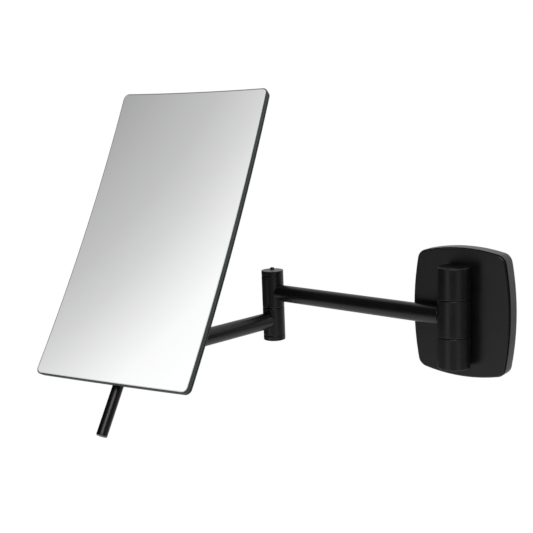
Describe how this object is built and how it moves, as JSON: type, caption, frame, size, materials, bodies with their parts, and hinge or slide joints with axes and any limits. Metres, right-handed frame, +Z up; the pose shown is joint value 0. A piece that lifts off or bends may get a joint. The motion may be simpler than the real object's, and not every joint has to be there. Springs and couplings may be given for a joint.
{
  "type": "extendable shaving mirror",
  "caption": "Wall-mounted shaving mirror: tall dished glass with a rod handle on two folding swivel arms, with a knuckle on a rounded wall plate.",
  "frame": {"origin": "centre of the wall plate's back, which lies on the wall", "axes": "+Z up, +X to the right, +Y into the wall, so the mirror stands out towards -Y"},
  "size_m": [0.2686, 0.1786, 0.2092],
  "materials": {
    "black_paint": "satin black powder coat",
    "black_shell": "matt black moulding",
    "mirror_glass": "silvered glass with a ground edge",
    "steel": "plain zinc-plated steel",
    "nylon": "natural nylon",
    "foam_pad": "black adhesive foam"
  },
  "bodies": {
    "wall_mount": {"knuckle_axle": "steel", "knuckle_bottom": "black_paint", "knuckle_cap_bottom": "black_paint", "knuckle_cap_top": "black_paint", "knuckle_nut": "steel", "knuckle_screw_1": "steel", "knuckle_screw_2": "steel", "knuckle_spring_washer": "steel", "knuckle_top": "black_paint", "knuckle_washer_bottom": "nylon", "knuckle_washer_top": "nylon", "plate_screw_1": "steel", "plate_screw_2": "steel", "plate_screw_3": "steel", "plate_screw_4": "steel", "plate_set_screw": "steel", "wall_band": "black_paint", "wall_bracket": "steel", "wall_plate": "black_paint"},
    "inner_arm": {"elbow_axle": "steel", "elbow_cap": "black_paint", "elbow_cap_pin": "black_paint", "elbow_nut": "steel", "elbow_spring_washer": "steel", "elbow_upper_barrel": "black_paint", "inner_arm_barrel": "black_paint", "inner_arm_bush": "nylon", "inner_arm_tube": "black_paint"},
    "outer_arm": {"elbow_bush": "nylon", "elbow_foot_cap": "black_paint", "elbow_lower_barrel": "black_paint", "elbow_washer": "nylon", "head_barrel": "black_paint", "head_bush": "nylon", "outer_arm_tube": "black_paint"},
    "head": {"head_axle": "steel", "head_fork": "black_paint", "head_nut": "steel", "head_washer_bottom": "nylon", "head_washer_top": "nylon"},
    "mirror": {"glass_pad": "foam_pad", "handle_rod": "black_paint", "hub_screw_1": "steel", "hub_screw_2": "steel", "hub_screw_3": "steel", "hub_screw_4": "steel", "mirror_glass": "mirror_glass", "mirror_hub": "black_paint", "mirror_shell": "black_shell", "tilt_axle": "steel", "tilt_nut": "steel", "tilt_washer_left": "nylon", "tilt_washer_right": "nylon"}
  },
  "joints": [
    {"name": "wall_swivel", "type": "hinge", "parent": "wall_mount", "child": "inner_arm", "pos_m": [0, -0.0194, -0.001], "axis": [0, 0, 1], "range_deg": [0, 188]},
    {"name": "elbow_swivel", "type": "hinge", "parent": "inner_arm", "child": "outer_arm", "pos_m": [-0.15063, -0.00887, -0.001], "axis": [0, 0, 1], "range_deg": [-216.4, 43.6]},
    {"name": "head_swivel", "type": "hinge", "parent": "outer_arm", "child": "head", "pos_m": [-0.16637, -0.12682, -0.0215], "axis": [0, 0, 1], "range_deg": [-101.2, 68.8]},
    {"name": "mirror_tilt", "type": "hinge", "parent": "head", "child": "mirror", "pos_m": [-0.1642, -0.14116, -0.0215], "axis": [0.9888, 0.1495, 0], "range_deg": [-17.6, 62.4]}
  ]
}
